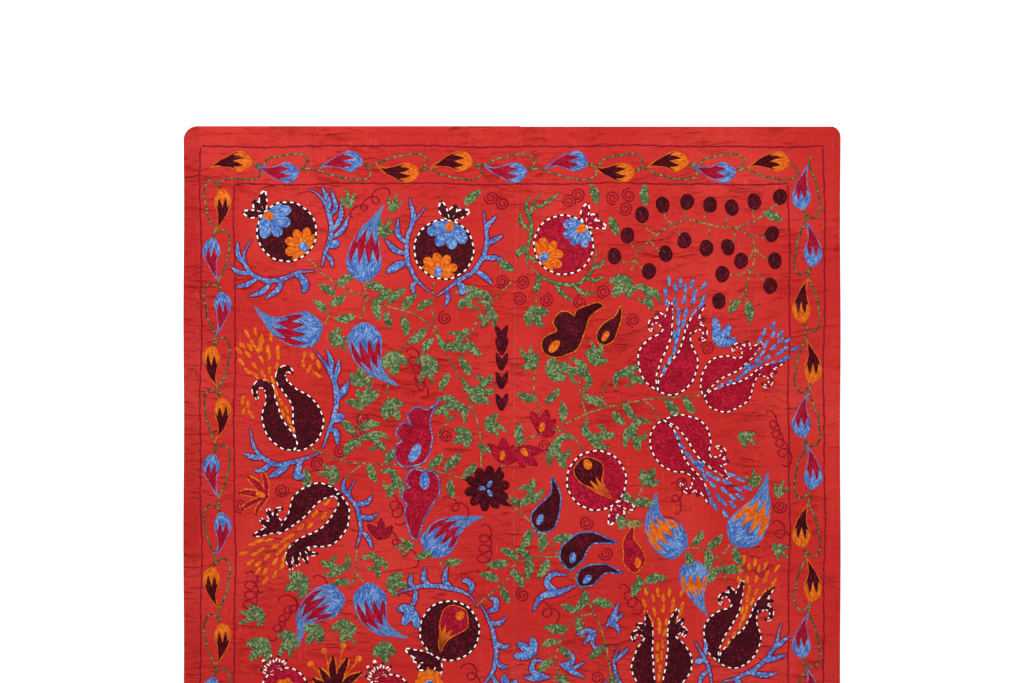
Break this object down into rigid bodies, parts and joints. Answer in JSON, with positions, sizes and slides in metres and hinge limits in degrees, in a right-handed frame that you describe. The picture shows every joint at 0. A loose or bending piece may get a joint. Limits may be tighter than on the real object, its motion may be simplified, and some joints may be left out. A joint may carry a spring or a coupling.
{
  "type": "suzani embroidered textile",
  "caption": "Rectangular red silk cover of two joined panels, embroidered all over with pomegranates, tulips, scrolls and leaves inside a budded vine border.",
  "frame": {"origin": "under the middle of the cover, on its flat back", "axes": "+Y up the length of the cover towards its upper end, +Z out of its embroidered face, +X to the right seen from the face"},
  "size_m": [1.4, 2.2, 0.0025],
  "materials": {
    "red_silk": "satin",
    "blue_thread": "satin",
    "orange_thread": "satin",
    "maroon_thread": "satin",
    "crimson_thread": "satin",
    "green_thread": "satin",
    "pale_thread": "satin"
  },
  "bodies": {
    "root": {"panel_left": "red_silk", "panel_right": "red_silk"}
  },
  "joints": []
}
